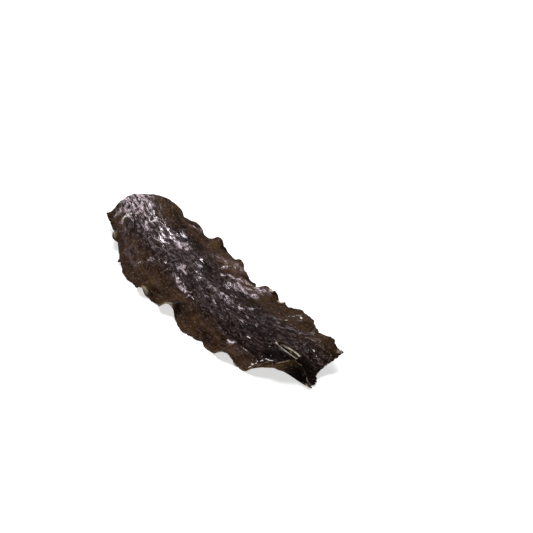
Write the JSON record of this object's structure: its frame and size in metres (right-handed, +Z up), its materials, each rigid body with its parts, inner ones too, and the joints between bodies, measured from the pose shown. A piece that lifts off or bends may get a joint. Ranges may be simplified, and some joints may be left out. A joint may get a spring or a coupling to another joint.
{
  "type": "dried kombu seaweed strip",
  "caption": "Dried kombu kelp blade, cut across at both ends, arched at one end, with waved thin margins and one rolled corner.",
  "frame": {"origin": "on the table, under the middle of the strip's box", "axes": "+X along the strip, from the arched cut end to the end with the rolled corner; +Y across it, from the margin that rolls in to the other margin; +Z up"},
  "size_m": [0.2842, 0.0918, 0.0253],
  "materials": {
    "dried_kelp": "dried kelp skin: purplish black-brown and semi-gloss along the thick middle band, olive-brown on the thin margins, with a pale powdery bloom in streaks and a few salt specks"
  },
  "bodies": {
    "root": {"kombu_blade": "dried_kelp"}
  },
  "joints": []
}
